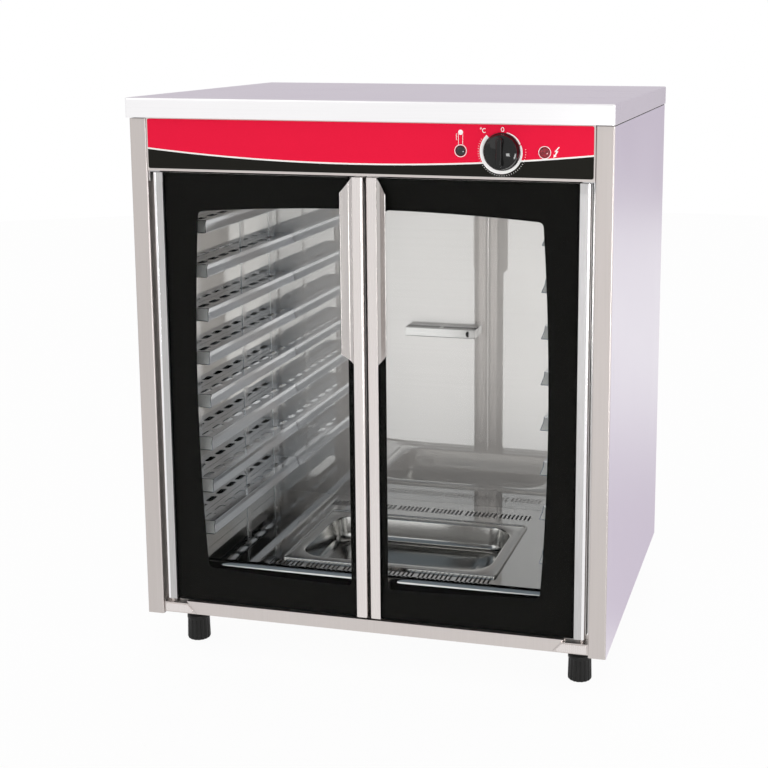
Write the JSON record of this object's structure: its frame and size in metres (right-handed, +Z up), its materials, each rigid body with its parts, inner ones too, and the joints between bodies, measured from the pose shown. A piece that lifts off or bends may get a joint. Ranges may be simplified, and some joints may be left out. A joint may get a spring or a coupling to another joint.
{
  "type": "proofing cabinet",
  "caption": "Heated proofing cabinet with two glass doors, runners for trays, a water pan under perforated floor and a thermostat knob.",
  "frame": {"origin": "on the floor under the middle of the cabinet's bounding box", "axes": "+Z up, -Y towards someone in front of the doors, +X to the right seen from there"},
  "size_m": [0.8, 0.6672, 0.958],
  "materials": {
    "worktop_steel": "fine brushed stainless sheet",
    "body_steel": "brushed stainless sheet, brushed along its length",
    "lining_steel": "mirror-bright polished stainless sheet",
    "stile_steel": "brushed stainless sheet",
    "profile_aluminium": "satin brushed extrusion",
    "printed_glass": "clear tempered glass with a glossy black printed border",
    "fascia_print": "printed film, red over black with a white swoosh",
    "gloss_black": "glossy moulded black",
    "lamp_black": "glossy dark lens",
    "lamp_red": "glossy dark red lens",
    "foot_plastic": "ribbed moulded black",
    "seal_rubber": "soft black strip",
    "housing_plastic": "moulded dark housing",
    "element_steel": "heat-tinted steel sheath",
    "pan_steel": "pressed bright stainless sheet",
    "hinge_steel": "zinc-bright steel"
  },
  "bodies": {
    "cabinet": {"top_panel": "worktop_steel", "side_panel_left": "body_steel", "side_panel_right": "body_steel", "back_panel": "body_steel", "base_panel": "body_steel", "sill_strip": "body_steel", "hinge_bracket_bottom_left": "body_steel", "hinge_bracket_bottom_right": "body_steel", "hinge_bracket_top_left": "hinge_steel", "hinge_bracket_top_right": "hinge_steel", "control_fascia": "body_steel", "fascia_decal": "fascia_print", "thermostat_lamp": "lamp_black", "power_lamp": "lamp_red", "thermostat_body": "housing_plastic", "chamber_wall_left": "lining_steel", "chamber_wall_right": "lining_steel", "chamber_ceiling": "lining_steel", "chamber_back": "lining_steel", "chamber_floor": "lining_steel", "tray_rail_left_1": "lining_steel", "tray_rail_left_2": "lining_steel", "tray_rail_left_3": "lining_steel", "tray_rail_left_4": "lining_steel", "tray_rail_left_5": "lining_steel", "tray_rail_left_6": "lining_steel", "tray_rail_left_7": "lining_steel", "tray_rail_left_8": "lining_steel", "tray_rail_right_1": "lining_steel", "tray_rail_right_2": "lining_steel", "tray_rail_right_3": "lining_steel", "tray_rail_right_4": "lining_steel", "tray_rail_right_5": "lining_steel", "tray_rail_right_6": "lining_steel", "tray_rail_right_7": "lining_steel", "tray_rail_right_8": "lining_steel", "heating_element": "element_steel", "sensor_guard": "lining_steel", "sensor_bulb": "hinge_steel", "cable_gland": "housing_plastic", "door_catch": "housing_plastic"},
    "door_left": {"door_glass_left": "printed_glass", "hinge_profile_left": "profile_aluminium", "centre_stile_left": "stile_steel", "door_seal_left": "seal_rubber", "pull_wing_left": "stile_steel"},
    "door_right": {"door_glass_right": "printed_glass", "hinge_profile_right": "profile_aluminium", "centre_stile_right": "stile_steel", "door_seal_right": "seal_rubber", "pull_wing_right": "stile_steel"},
    "knob": {"knob": "gloss_black"},
    "water_pan": {"water_pan": "pan_steel"},
    "foot_front_left": {"foot_front_left": "foot_plastic"},
    "foot_front_right": {"foot_front_right": "foot_plastic"},
    "foot_rear_left": {"foot_rear_left": "foot_plastic"},
    "foot_rear_right": {"foot_rear_right": "foot_plastic"}
  },
  "joints": [
    {"name": "door_left_hinge", "type": "hinge", "parent": "cabinet", "child": "door_left", "pos_m": [-0.3575, -0.294, 0.1015], "axis": [0, 0, -1], "range_deg": [0, 95]},
    {"name": "door_right_hinge", "type": "hinge", "parent": "cabinet", "child": "door_right", "pos_m": [0.3575, -0.294, 0.1015], "axis": [0, 0, 1], "range_deg": [0, 95]},
    {"name": "thermostat_knob", "type": "hinge", "parent": "cabinet", "child": "knob", "pos_m": [0.2245, -0.3086, 0.88275], "axis": [0, 1, 0], "range_deg": [0, 300]},
    {"name": "water_pan_lift", "type": "slide", "parent": "cabinet", "child": "water_pan", "axis": [0, 0, 1], "range_m": [0, 0.065]},
    {"name": "foot_front_left_thread", "type": "hinge", "parent": "cabinet", "child": "foot_front_left", "pos_m": [-0.343, -0.225, 0], "axis": [0, 0, 1], "continuous": true},
    {"name": "foot_front_right_thread", "type": "hinge", "parent": "cabinet", "child": "foot_front_right", "pos_m": [0.343, -0.225, 0], "axis": [0, 0, 1], "continuous": true},
    {"name": "foot_rear_left_thread", "type": "hinge", "parent": "cabinet", "child": "foot_rear_left", "pos_m": [-0.343, 0.225, 0], "axis": [0, 0, 1], "continuous": true},
    {"name": "foot_rear_right_thread", "type": "hinge", "parent": "cabinet", "child": "foot_rear_right", "pos_m": [0.343, 0.225, 0], "axis": [0, 0, 1], "continuous": true}
  ]
}
